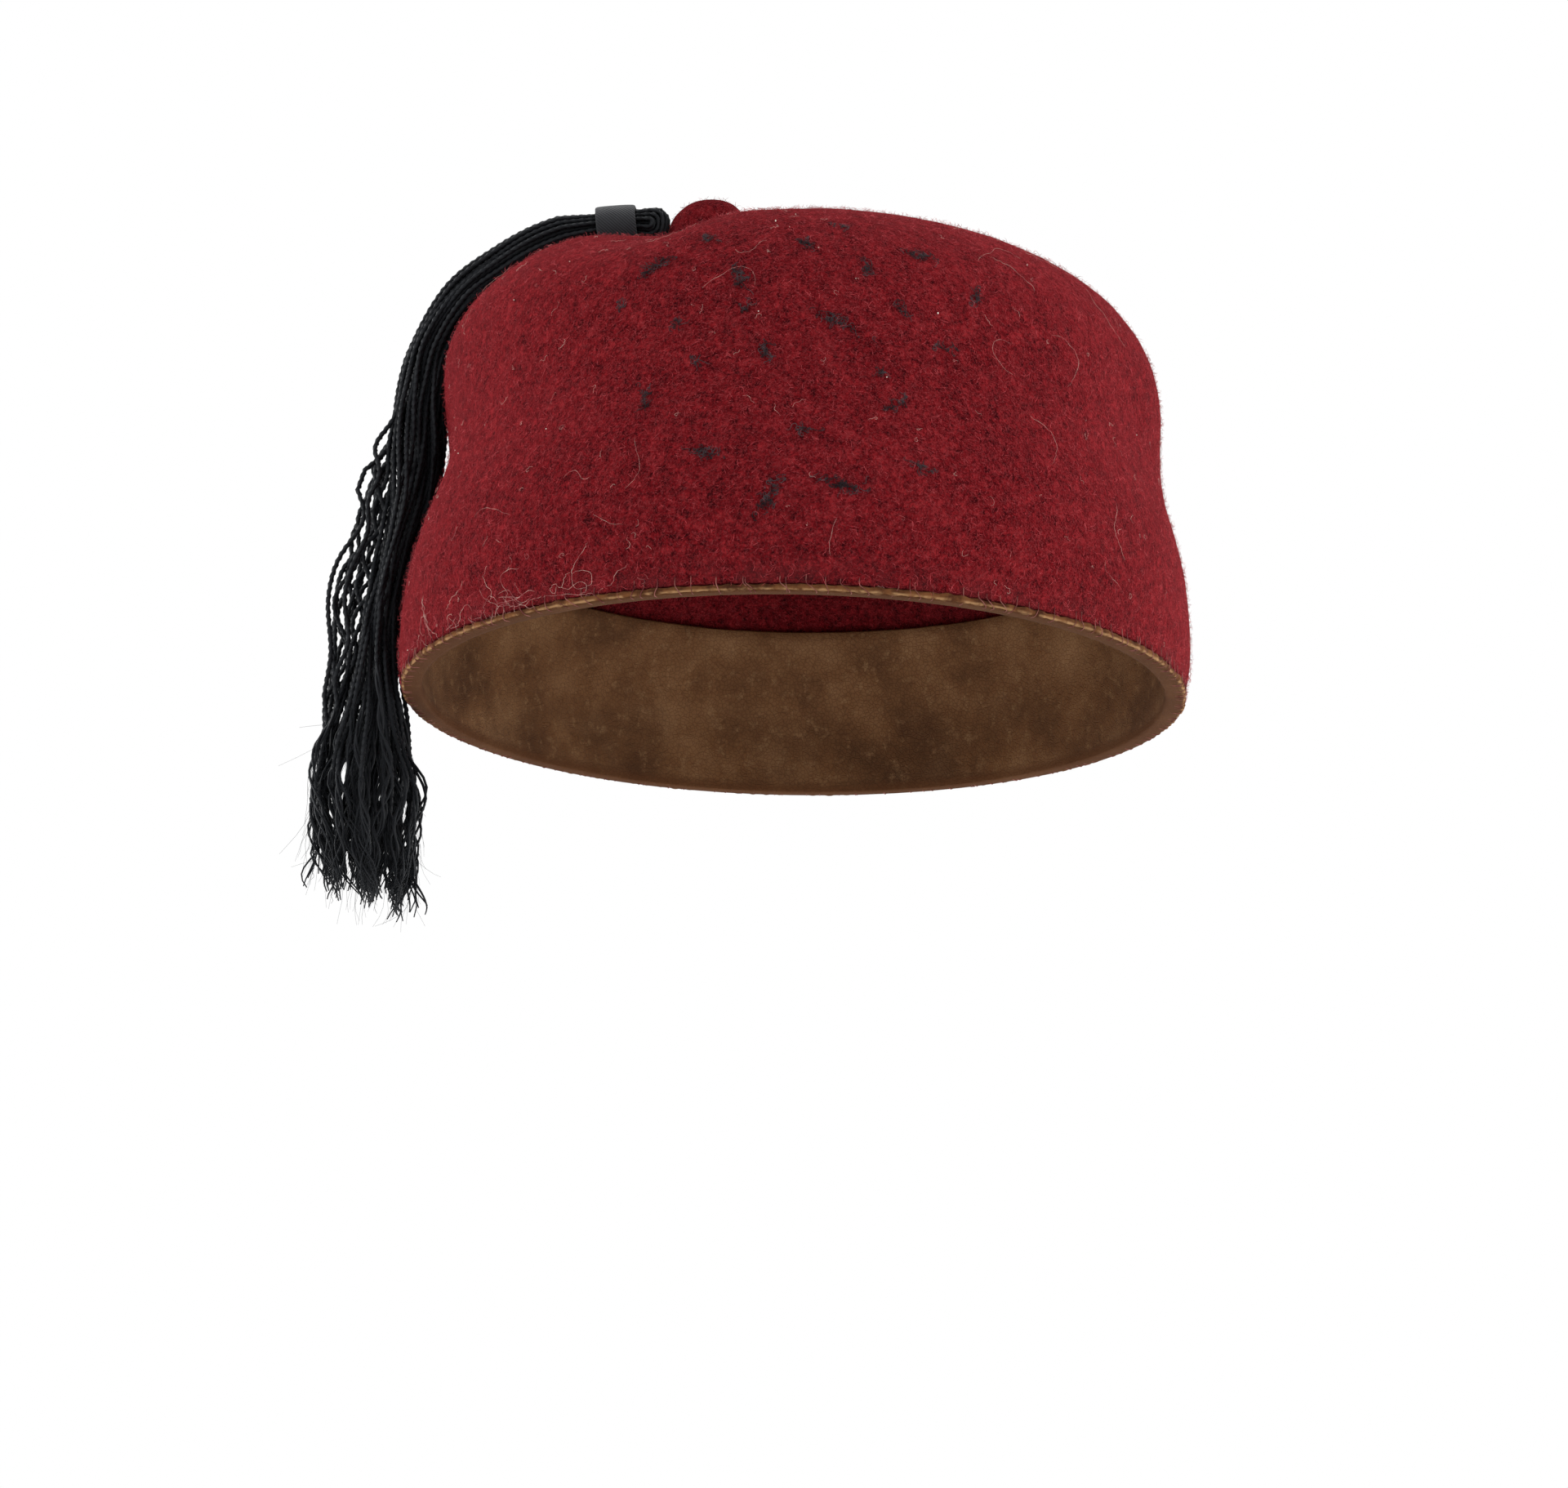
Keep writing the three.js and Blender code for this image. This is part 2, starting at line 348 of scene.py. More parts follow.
def ribbon_finish():
    """Twill ribbon, its ribs slanting across the strip that the UV map unrolls in metres."""
    ribbon = Finish("tassel_ribbon", Roughness=0.75, Specular_IOR_Level=0.2, Sheen_Weight=0.08)
    unrolled = ribbon.node("ShaderNodeUVMap", {"uv_map": "unrolled"})
    slant = (0, 0, math.radians(38))
    turned = ribbon.node("ShaderNodeMapping", None, {"Vector": unrolled, "Rotation": slant})
    ribs = ribbon.node(
        "ShaderNodeTexWave", {"bands_direction": "X"}, {"Vector": turned, "Scale": 0.7 / MM}
    )
    wear = ribbon.noise(1.6 * MM, 3)
    weave = ribbon.mix(ribs * 0.7 + wear * 0.3, (0.0075, 0.0080, 0.0095), (0.027, 0.0285, 0.033))
    ribbon.set(ribbon.shader, {"Base Color": weave})
    ribbon.bump(ribs, 0.12 * MM, 0.8)
    return ribbon.material


def floor_finish():
    pale = Finish("pale_floor", Roughness=0.9)
    speck = pale.noise(0.4, 2)
    pale.set(pale.shader, {"Base Color": pale.mix(speck, (0.80, 0.80, 0.79), (0.84, 0.84, 0.83))})
    return pale.material


# ----------------------------
# Mesh helpers
# ----------------------------


def deselect_all():
    bpy.ops.object.select_all(action="DESELECT")


def make_active(piece):
    deselect_all()
    piece.select_set(True)
    bpy.context.view_layer.objects.active = piece


def hand_over(piece, slot, material, *replaced):
    """Finishes a piece: its material, its body and the nodes it stands for. The slot it is given is
    not used.
    """
    piece.data.materials.clear()
    piece.data.materials.append(material)
    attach(piece, "root")
    if replaced:
        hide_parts(*replaced)
    return piece


def piece_from(name, points, faces):
    mesh = bpy.data.meshes.new(name)
    mesh.from_pydata(points, [], faces)
    mesh.polygons.foreach_set("use_smooth", [True] * len(mesh.polygons))
    piece = bpy.data.objects.new(name, mesh)
    bpy.context.collection.objects.link(piece)
    return piece


def joined(parts):
    """Several lists of points and faces as one."""
    points, faces, start = [], [], 0
    for part_points, part_faces in parts:
        points.append(part_points)
        faces.extend([[i + start for i in face] for face in part_faces])
        start += len(part_points)
    return np.concatenate(points), faces


def unit(vectors):
    return vectors / np.maximum(np.linalg.norm(vectors, axis=-1, keepdims=True), 1e-12)


def tubes(paths, radii, sides, hints, lobe=0.0, twist=0.0):
    """Points and faces of closed tubes along paths[tube, step]. hints[tube] is a direction that
    no tube runs along. A lobe above 0 gives each a three-ply section, turned by twist."""
    count, steps = paths.shape[:2]
    along = unit(np.gradient(paths, axis=1))
    across = unit(np.cross(along, np.broadcast_to(hints, (count, 3))[:, None, :]))
    lift = np.cross(along, across)
    angle = np.arange(sides) * TURN / sides
    turned = angle + np.broadcast_to(twist, (count, steps))[..., None]
    reach = np.broadcast_to(radii, (count, steps))[..., None] * (1 + lobe * np.cos(3 * angle))
    round_it = np.cos(turned)[..., None] * across[:, :, None]
    round_it = round_it + np.sin(turned)[..., None] * lift[:, :, None]
    points = paths[:, :, None] + reach[..., None] * round_it
    here = np.arange(sides)
    there = (here + 1) % sides
    quad = np.stack([here, there, there + sides, here + sides], axis=-1)
    first = np.arange(count) * steps * sides
    starts = first[:, None] + np.arange(steps - 1) * sides
    quads = (starts[..., None, None] + quad).reshape(-1, 4)
    near_caps = first[:, None] + here[::-1]
    far_caps = first[:, None] + (steps - 1) * sides + here
    faces = quads.tolist() + near_caps.tolist() + far_caps.tolist()
    return points.reshape(-1, 3), faces


def catmull_rom(rows, at):
    """Smooth values between the rows of a table, at places counted in rows."""
    last = len(rows) - 1
    i = np.clip(np.floor(at).astype(int), 0, last - 1)
    t = (at - i)[..., None]
    before, start, end, after = (rows[np.clip(i + k, 0, last)] for k in (-1, 0, 1, 2))
    linear = end - before
    square = 2 * before - 5 * start + 4 * end - after
    cube = 3 * (start - end) + after - before
    return start + 0.5 * t * (linear + t * (square + t * cube))


def copy_of(node, name):
    """The CAD node's shape as a new piece of quads, with its loose triangles merged."""
    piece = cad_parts[node].copy()
    piece.data = piece.data.copy()
    piece.name = name
    piece.parent = None
    for key in list(piece.keys()):
        del piece[key]
    bpy.context.collection.objects.link(piece)
    make_active(piece)
    bpy.ops.object.mode_set(mode="EDIT")
    bpy.ops.mesh.select_all(action="SELECT")
    bpy.ops.mesh.remove_doubles(threshold=0.02 * MM)
    bpy.ops.mesh.tris_convert_to_quads(face_threshold=math.pi, shape_threshold=math.pi)
    bpy.ops.object.mode_set(mode="OBJECT")
    return piece


def crease_edges(piece, wanted, amount):
    """Sharpens, for subdivision, the edges whose two ends both pass a test."""
    mesh = piece.data
    crease = mesh.attributes.new("crease_edge", "FLOAT", "EDGE")
    for edge in mesh.edges:
        ends = [mesh.vertices[i].co for i in edge.vertices]
        crease.data[edge.index].value = amount if all(wanted(end) for end in ends) else 0.0


def swell(piece, rise):
    """Moves each point along its normal by rise(place, normal)."""
    mesh = piece.data
    places = np.empty((len(mesh.vertices), 3), np.float32)
    normals = np.empty_like(places)
    mesh.vertices.foreach_get("co", places.ravel())
    mesh.vertices.foreach_get("normal", normals.ravel())
    rises = [rise(Vector(p), n) for p, n in zip(places.tolist(), normals.tolist())]
    places += normals * np.array(rises, np.float32)[:, None]
    mesh.vertices.foreach_set("co", places.ravel())
    mesh.update()


def subdivide(piece, levels):
    make_active(piece)
    modifier = piece.modifiers.new("smooth", "SUBSURF")
    modifier.levels = modifier.render_levels = levels
    bpy.ops.object.modifier_apply(modifier=modifier.name)
    bpy.ops.object.shade_smooth()


# ----------------------------
# Felt body
# ----------------------------

# The felt's unevenness: how far apart the swellings of each kind are, and how high.
SWELLINGS = table(
    "apart high",
    (26 * MM, 0.42 * MM),
    (8 * MM, 0.14 * MM),
    (3 * MM, 0.06 * MM),
)
# The foot of the pip flares out to the tassel's head.
PIP_FOOT = {"middle": Vector((-28, 1.5, 107)) * MM, "high": 1.3 * MM, "reach": 7 * MM}
EVEN_ABOVE_EDGE = 3 * MM  # the unevenness fades away over this height above the felt's edge


def uneven(place):
    rise = sum(row["high"] * noise.noise(place / row["apart"]) for row in SWELLINGS)
    nearness = 1 - (place - PIP_FOOT["middle"]).length / PIP_FOOT["reach"]
    return rise + PIP_FOOT["high"] * max(0.0, nearness)


def felt_body(felt):
    crown = copy_of("felt_crown", "crown_felt")
    crease_edges(crown, lambda end: end.z < FELT_EDGE + 0.1 * MM, 0.75)
    subdivide(crown, 2)
    swell(crown, lambda place, _: uneven(place) * min(1.0, (place.z - FELT_EDGE) / EVEN_ABOVE_EDGE))
    return hand_over(crown, "wool_felt", felt, "felt_crown")


class Surface:
    """The felt's outside, for laying things on it."""

    def __init__(self, piece):
        mesh = piece.data
        corners = np.empty((len(mesh.vertices), 3))
        mesh.vertices.foreach_get("co", corners.ravel())
        faces = [tuple(p.vertices) for p in mesh.polygons]
        self.tree = BVHTree.FromPolygons(corners.tolist(), faces)
        quads = corners[np.array([face for face in faces if len(face) == 4])]
        crossed = np.cross(quads[:, 2] - quads[:, 0], quads[:, 3] - quads[:, 1])
        outside = np.sum(crossed * (quads.mean(axis=1) - MIDDLE), axis=1) > 0
        self.quads = quads[outside]
        self.normals = unit(crossed[outside])
        self.areas = np.linalg.norm(crossed[outside], axis=1) / 2

    def scatter(self, draw, count):
        """Random places all over the outside, and the surface's direction at each."""
        chosen = draw.choice(len(self.areas), count, p=self.areas / self.areas.sum())
        u, v = draw.random((2, count, 1))
        a, b, c, d = np.moveaxis(self.quads[chosen], 1, 0)
        places = (1 - v) * ((1 - u) * a + u * b) + v * ((1 - u) * d + u * c)
        return places, self.normals[chosen]

    def facing(self, bearing, height):
        """The outside at a compass bearing (0 the front, towards the wearer's left) and height."""
        outwards = Vector((math.sin(bearing), -math.cos(bearing), 0))
        start = outwards * 0.3 + Vector((0, 0, height))
        return self.tree.ray_cast(start, -outwards)[:2]

    def beneath(self, place):
        return self.tree.find_nearest(place)[:2]

    def stroll(self, draw, start, heading, length, steps, curl, lift):
        """A path over the felt that wanders by curl radians a step, lifted clear of it."""
        place, normal = self.beneath(start)
        heading = (heading - normal * heading.dot(normal)).normalized()
        turn, path = draw.normal(0, curl), []
        for _ in range(steps):
            path.append(place + normal * lift * (0.4 + draw.random()))
            turn = 0.75 * turn + draw.normal(0, curl)
            heading = Matrix.Rotation(turn, 3, normal) @ heading
            place, normal = self.beneath(place + heading * (length / steps))
            heading = (heading - normal * heading.dot(normal)).normalized()
        return path, normal


def any_way(draw, count, normals):
    """Random directions along the surface."""
    return unit(np.cross(normals, draw.normal(size=(count, 3))))


# Short fuzz over the felt: the fibres' length and how far they stand up, in mm.
NAP = table(
    "name length stand seed",
    ("crown_nap_1", (1.0, 2.4), (0.10, 0.55), 11),
    ("crown_nap_2", (0.8, 1.8), (0.15, 0.75), 12),
)
NAP_FIBRES = 12300  # in each piece
NAP_RADIUS = 0.034 * MM
NAP_ROOT = 0.08 * MM  # how deep a fibre starts in the felt


def nap(surface, material):
    count = NAP_FIBRES
    for row in NAP:
        draw = np.random.default_rng(row["seed"])
        places, normals = surface.scatter(draw, count)
        length = draw.uniform(*row["length"], (count, 1)) * MM
        stand = draw.uniform(*row["stand"], (count, 1)) * MM
        first, second = any_way(draw, count, normals), any_way(draw, count, normals)
        root = places - normals * NAP_ROOT
        middle = places + normals * stand + first * length * 0.45
        tip = middle + (first + second) * length * 0.3 + normals * stand * draw.uniform(-0.8, 0.5)
        paths = np.stack([root, middle, tip], axis=1)
        radii = NAP_RADIUS * np.array([1.0, 0.9, 0.25])
        points, faces = tubes(paths, radii, 3, draw.normal(size=(count, 3)))
        hand_over(piece_from(row["name"], points, faces), "wool_felt", material)


# ----------------------------
# Sweatband
# ----------------------------


class Rim:
    """The felt's outer edge as a smooth loop, from the CAD crown's lowest outer points."""

    WAVES = 7

    def __init__(self):
        corners = [v.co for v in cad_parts["felt_crown"].data.vertices]
        low = {
            (round(c.x / MM, 2), round(c.y / MM, 2)) for c in corners if c.z < FELT_EDGE + 0.05 * MM
        }
        ring = np.array(sorted(low, key=lambda c: math.atan2(c[1], c[0]))) * MM
        reach = np.hypot(*ring.T)
        shape = np.hypot(ring[:, 0] / FELT_HIGH.x, ring[:, 1] / FELT_HIGH.y)
        outer = shape > (shape.max() + shape.min()) / 2
        angle = np.arctan2(ring[outer, 1], ring[outer, 0])
        columns = [np.ones_like(angle)]
        for k in range(1, self.WAVES + 1):
            columns += [np.cos(k * angle), np.sin(k * angle)]
        self.series = np.linalg.lstsq(np.stack(columns, 1), reach[outer], rcond=None)[0]

    def at(self, angle):
        """The edge's points at those angles round +Z from +X."""
        reach = np.full_like(angle, self.series[0])
        for k in range(1, self.WAVES + 1):
            reach = reach + self.series[2 * k - 1] * np.cos(k * angle)
            reach = reach + self.series[2 * k] * np.sin(k * angle)
        return np.stack([reach * np.cos(angle), reach * np.sin(angle), 0 * angle], -1)


STITCHES = 168


def rippled(place, _):
    """The leather's waviness, which fades towards its turned edge."""
    clear_of_edge = min(1.0, max(0.0, (place.z - 2 * MM) / (8 * MM)))
    ripple = 0.22 * noise.noise(place / (11 * MM)) + 0.06 * noise.noise(place / (4 * MM))
    return ripple * MM * clear_of_edge


def band(leather):
    strip = copy_of("sweatband", "band_leather")
    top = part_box("sweatband")[1].z
    crease_edges(strip, lambda end: end.z < 1.5 * MM or end.z > top - 1.5 * MM, 0.8)
    subdivide(strip, 2)
    swell(strip, rippled)
    hand_over(strip, "sweatband_leather", leather, "sweatband")


# The turned edge, in mm: how far inside the felt's face and how high its middle lies, and its half
# width and half height. Each is at rest, and what a pinch and what the unevenness add to it.
TURNED_EDGE = {
    "inset": (0.75, -0.12, -0.07),
    "middle": (0.78, 0.0, 0.06),
    "wide": (0.70, 0.20, 0.05),
    "high": (0.62, 0.24, 0.05),
}
EDGE_STEPS = 6  # from one stitch to the next
EDGE_SIDES = 8
EDGE_SLIP = 1.6  # how far the pinches stray from even spacing, in radians


def round_loop(angle, values):
    """Values spread evenly round the rim and joined up."""
    return np.interp(angle, np.linspace(0, TURN, len(values) + 1), [*values, values[0]])


def turned_edge(rim, material):
    """The leather's edge rolled out under the felt, and unevenly pinched by the stitches."""
    steps = STITCHES * EDGE_STEPS
    angle = np.arange(steps) * TURN / steps
    points = rim.at(angle)
    along = unit(np.roll(points, -1, 0) - np.roll(points, 1, 0))
    outwards = np.cross(along, (0, 0, 1))
    draw = np.random.default_rng(21)
    drift = round_loop(angle, draw.normal(size=96))
    slip = round_loop(angle, draw.normal(size=60))
    pull = round_loop(angle, draw.uniform(0.1, 1.5, 126))
    pinch = (0.5 - 0.5 * np.cos(angle * STITCHES + slip * EDGE_SLIP)) * pull
    sizes = {}
    for name, (rest, pinched, uneven_by) in TURNED_EDGE.items():
        sizes[name] = (rest + pinched * pinch + uneven_by * drift)[:, None] * MM
    middle = points - outwards * sizes["inset"]
    middle[:, 2:] = sizes["middle"]
    around = np.arange(EDGE_SIDES) * TURN / EDGE_SIDES
    sideways = (sizes["wide"] * np.cos(around))[..., None] * outwards[:, None, :]
    upwards = (sizes["high"] * np.sin(around))[..., None] * np.array((0, 0, 1))
    ring = (middle[:, None, :] + sideways + upwards).reshape(-1, 3)
    faces = []
    for k in range(steps):
        here, there = k * EDGE_SIDES, (k + 1) % steps * EDGE_SIDES
        for i in range(EDGE_SIDES):
            j = (i + 1) % EDGE_SIDES
            faces.append((here + i, there + i, there + j, here + j))
    hand_over(piece_from("band_edge", ring, faces), "sweatband_leather", material)


# A stitch's bends once it has left the felt: how far along its slant, how far out from the felt's
# edge and how high, in mm.
STITCH_BENDS = table(
    "slant out high",
    (0.0, 0.16, FELT_EDGE / MM),
    (0.5, 0.14, 0.75),
    (1.0, -0.50, -0.02),
    (1.0, -2.20, 0.05),
)
STITCH_STEPS = 13


def whip_stitches(rim, surface, material):
    """Uneven stitches of fine thread from the felt down over the leather's turned edge."""
    draw = np.random.default_rng(22)
    paths = []
    for k in range(STITCHES):
        angle = (k + draw.uniform(-0.6, 0.6)) * TURN / STITCHES
        slant = draw.uniform(-1.2, 2.4) * MM / FELT_HIGH.y
        edge = rim.at(np.array([angle + slant * row["slant"] for row in STITCH_BENDS]))
        away = Vector(edge[1]).normalized()
        bearing = math.atan2(edge[0][0], -edge[0][1])
        start, normal = surface.facing(bearing, FELT_EDGE + draw.uniform(0.9, 1.9) * MM)
        path = [start + normal * 0.02 * MM]
        for row, point in zip(STITCH_BENDS, edge):
            bend = Vector(point) + away * row["out"] * MM
            bend.z = row["high"] * MM
            path.append(bend)
        paths.append(path)
    rough = np.array(paths)
    bends = rough.shape[1]
    rows = np.moveaxis(rough, 1, 0).reshape(bends, STITCHES * 3)
    smooth = catmull_rom(rows, np.linspace(0, bends - 1, STITCH_STEPS))
    smooth = np.moveaxis(smooth.reshape(STITCH_STEPS, STITCHES, 3), 1, 0)
    radii = draw.uniform(0.05, 0.11, (STITCHES, 1)) * MM * np.ones(STITCH_STEPS)
    points, faces = tubes(smooth, radii, 5, unit(np.cross(rough[:, 2], (0, 0, 1.0))))
    hand_over(piece_from("whip_stitches", points, faces), "sweatband_leather", material)


# ----------------------------
# Tassel
# ----------------------------

# The bundle's middle and its half thickness and half width, from the looped head over the
# shoulder to the cut ends, in mm, as the CAD bundle has them.
BUNDLE = table(
    "x y z thick wide",
    (-34.0, 0.0, 108.3, 5.2, 6.5),
    (-37.8, 0.2, 108.4, 4.4, 6.2),
    (-44.0, 0.5, 107.8, 4.4, 6.4),
    (-51.0, 1.0, 105.7, 4.8, 7.5),
    (-59.0, 2.0, 102.6, 5.2, 8.5),
    (-67.2, 4.0, 97.9, 5.4, 9.5),
    (-75.5, 6.0, 91.5, 5.2, 10.5),
    (-82.3, 8.0, 81.0, 4.9, 11.5),
    (-84.7, 10.0, 70.0, 6.0, 12.5),
    (-86.4, 11.0, 58.0, 7.2, 13.5),
    (-89.0, 12.0, 46.0, 7.8, 14.0),
    (-92.7, 12.5, 34.0, 7.6, 14.5),
    (-95.4, 13.0, 22.0, 8.0, 15.0),
    (-95.2, 13.0, 9.0, 7.8, 15.0),
    (-94.8, 13.0, -5.0, 10.4, 15.5),
    (-94.5, 13.0, -18.0, 13.8, 16.0),
    (-94.2, 13.0, -30.0, 13.2, 15.5),
    (-93.6, 13.0, -40.0, 12.6, 14.5),
    (-93.2, 13.0, -48.0, 12.2, 14.0),
)


class Bundle:
    """Places in the tassel's bundle, by the distance along it from its head."""

    def __init__(self):
        self.rows = np.array([list(row.values()) for row in BUNDLE]) * MM
        at = np.linspace(0, len(BUNDLE) - 1, 900)
        route = catmull_rom(self.rows, at)[:, :3]
        steps = np.linalg.norm(np.diff(route, axis=0), axis=1)
        self.at = at
        self.distance = np.concatenate([[0], np.cumsum(steps)])
        self.length = self.distance[-1]

    def thickness(self, distance):
        """The half thickness at those distances."""
        at = np.interp(distance, self.distance, self.at)
        return np.interp(at, np.arange(len(self.rows)), self.rows[:, 3])

    def place(self, distance, sideways, outwards):
        """The point at those distances, and at those shares of the half width and thickness."""
        at = np.interp(distance, self.distance, self.at)
        here = catmull_rom(self.rows, at)
        ahead = catmull_rom(self.rows, at + 0.02) - catmull_rom(self.rows, at - 0.02)
        across = np.array((0.0, 1.0, 0.0))
        out = unit(np.cross(across, ahead[..., :3]))
        thick, wide = here[..., 3:4], here[..., 4:5]
        return here[..., :3] + across * sideways[..., None] * wide + out * outwards[..., None] * thick


CORDS = 46  # each folded in two at the head, so that twice as many hang down
CORD_RADIUS = 0.56 * MM
PLY_PITCH = 5.4 * MM
PLY_LOBE = 0.15  # how far each ply stands out of the cord, as a share of its radius
NECK = 24 * MM  # how far along the bundle the cords are still squeezed by the ribbon
DENSE_STEPS = 250
LOOP_STEPS = 11  # round the head

# Down the outer side, some cords part from the rest and cross each other like a loose net. At
# distances in mm from the head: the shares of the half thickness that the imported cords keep
# between, and how far the net's cords have parted from them.
NET_LANES = 4  # of three cords each, two of them side by side and the third crossing them
NET_SWING = 1.45 * MM
NET_MESH = 10 * MM  # from one crossing to the next
PACKED = table(
    "along outer inner net",
    (0, 0.97, -0.95, 0.0),
    (12, 0.97, -0.95, 0.0),
    (19, 1.32, -0.95, 0.0),
    (34, 1.14, -0.98, 0.0),
    (62, 1.08, -1.00, 0.0),
    (74, 0.92, -1.02, 0.2),
    (86, 0.66, -1.12, 1.0),
    (94, 0.42, -1.10, 1.0),
    (104, 0.12, -0.98, 1.0),
    (116, 0.00, -0.95, 1.0),
    (128, 0.14, -0.95, 1.0),
    (140, 0.46, -0.95, 1.0),
    (152, 0.78, -0.95, 0.7),
    (164, 0.95, -0.95, 0.3),
    (178, 0.97, -0.95, 0.05),
    (190, 0.97, -0.95, 0.0),
    (220, 0.97, -0.95, 0.0),
)
CLUMPS = 1.7  # how many clumps of cut ends there are across the half width and thickness
GATHER = {"from_end": 16 * MM, "over": 18 * MM, "share": 0.55}  # how the cords come into clumps


# The cords' drifts: from one wave to the next, and how far each sways, in shares of the bundle
# except for the net's swing, which is in radians.
SIDE_DRIFTS = [(75 * MM, 0.20), (31 * MM, 0.05)]
OUT_DRIFTS = [(62 * MM, 0.14), (27 * MM, 0.03)]
SWING_DRIFT = (45 * MM, 0.35)
LANE_DRIFT = (38 * MM, 0.05)


def waves(draw, distance, apart, size):
    """A slow random drift along each cord."""
    count = len(distance)
    phase = draw.uniform(0, TURN, (count, 1))
    rate = TURN / (apart * draw.uniform(0.75, 1.35, (count, 1)))
    return size * np.sin(distance * rate + phase)


class Cords:
    """The paths of all the hanging halves of the cords, each frayed into plies at its end."""

    def __init__(self, bundle):
        self.bundle = bundle
        draw = np.random.default_rng(31)
        golden = TURN * 0.381966
        self.count = 2 * CORDS
        k = np.arange(self.count)
        reach = np.sqrt((k + 0.5) / self.count) * 0.92
        sideways, outwards = reach * np.cos(k * golden), reach * np.sin(k * golden)
        upper = np.argsort(-outwards)[:CORDS]
        self.sideways = np.concatenate([sideways[upper], sideways[upper]])
        self.outwards = np.concatenate([outwards[upper], -outwards[upper]])
        strand = np.arange(3 * NET_LANES)
        netted = slice(1, 6 * NET_LANES, 2)  # every other cord of the outermost ones
        self.lane = np.full((self.count, 1), -1.0)
        self.lane[netted, 0] = strand // 3
        self.side_swung = np.zeros((self.count, 1))
        self.side_swung[netted, 0] = np.array((0, math.pi, math.pi + 0.5))[strand % 3]
        self.seed = draw.integers(1, 10**6)
        shorter = (0.5 + 0.5 * self.outwards) * 9 * MM
        self.end = bundle.length - 1 * MM - shorter - draw.uniform(0, 4, self.count) * MM
        self.fray = self.end - draw.uniform(12, 56, self.count) * MM

    def paths(self, distance):
        """Each cord's middle line at its own row of distances."""
        draw = np.random.default_rng(self.seed)
        free = np.clip((distance - NECK) / (60 * MM), 0, 1)
        side, out = self.sideways[:, None], self.outwards[:, None]
        for apart, size in SIDE_DRIFTS:
            side = side + free * waves(draw, distance, apart, size)
        for apart, size in OUT_DRIFTS:
            out = out + free * waves(draw, distance, apart, size)
        turned = 0.8 * distance / self.bundle.length
        side, out = (
            side * np.cos(turned) - out * np.sin(turned) * 0.35,
            out * np.cos(turned * 0.5) + side * np.sin(turned) * 0.2,
        )
        side, out = np.clip(side, -1, 1), np.clip(out, -0.95, 0.97)
        along, outer, inner, net = np.array([list(row.values()) for row in PACKED]).T
        outer = np.interp(distance / MM, along, outer)
        inner = np.interp(distance / MM, along, inner)
        parted = np.interp(distance / MM, along, net) * (self.lane >= 0)
        packed = inner + (out + 0.95) * (outer - inner) / 1.92
        swing = distance / NET_MESH * math.pi + self.side_swung + self.lane * 1.9
        swing = swing + 1.3 * np.sin(distance / (19 * MM) + self.lane)
        swing = swing + waves(draw, distance, *SWING_DRIFT)
        lane = outer + (1.0 - outer) * (self.lane + 0.7) / NET_LANES
        lane = lane + waves(draw, distance, *LANE_DRIFT)
        reach = NET_SWING * (0.75 + 0.5 * np.sin(distance / (13 * MM) + self.lane * 2.3))
        swung = lane + reach / self.bundle.thickness(distance) * np.sin(swing)
        out = packed + (np.clip(swung, -0.9, 1.12) - packed) * parted
        clump = np.round(self.sideways * CLUMPS)[:, None] / CLUMPS
        clump_out = np.round(self.outwards * CLUMPS)[:, None] / CLUMPS
        past_start = distance - self.end[:, None] + GATHER["from_end"]
        near_end = np.clip(past_start / GATHER["over"], 0, 1) ** 2 * GATHER["share"]
        side = side + (clump - side) * near_end
        out = out + (clump_out - out) * near_end
        return self.bundle.place(distance, side, out)


def squeezed(distance):
    """The share of its full radius that a cord has at a distance from the head."""
    return 0.86 + 0.14 * np.clip((distance - 0.4 * NECK) / NECK, 0, 1)


def boxy(turned):
    """A circle's sine or cosine, pushed towards a square's."""
    return np.sign(turned) * np.abs(turned) ** 0.75


def folded_cords(cords, material):
    """Each cord from one frayed end up through the ribbon, round the head and back down."""
    share = np.linspace(0, 1, DENSE_STEPS)
    distance = cords.fray[:, None] * share
    hanging = cords.paths(distance)
    one, other = hanging[:CORDS], hanging[CORDS:]
    middle = (one[:, 0] + other[:, 0]) / 2
    arm = one[:, 0] - middle
    back = unit(one[:, 0] - one[:, 3])
    turn = np.linspace(0, math.pi, LOOP_STEPS)[1:-1]
    bulge = np.linalg.norm(arm, axis=1)[:, None, None] * back[:, None, :]
    loops = middle[:, None] + arm[:, None] * boxy(np.cos(turn))[None, :, None]
    loops = loops + bulge * boxy(np.sin(turn))[None, :, None]
    paths = np.concatenate([one[:, ::-1], loops, other], axis=1)
    thin = squeezed(distance)
    neck = np.full((CORDS, len(turn)), squeezed(0.0))
    radii = CORD_RADIUS * np.concatenate([thin[:CORDS, ::-1], neck, thin[CORDS:]], axis=1)
    step = np.linalg.norm(np.diff(paths, axis=1), axis=2)
    run = np.concatenate([np.zeros((CORDS, 1)), np.cumsum(step, axis=1)], axis=1)
    twist = run * TURN / PLY_PITCH
    half = CORDS // 2
    for name, chosen in (("tassel_cords_1", slice(0, half)), ("tassel_cords_2", slice(half, None))):
        points, faces = tubes(paths[chosen], radii[chosen], 6, (0, 1, 0.03), PLY_LOBE, twist[chosen])
        piece = piece_from(name, points, faces)
        replaced = ("tassel_cords",) if name.endswith("1") else ()
        hand_over(piece, "tassel_cord", material, *replaced)


PLY_STEPS = 24


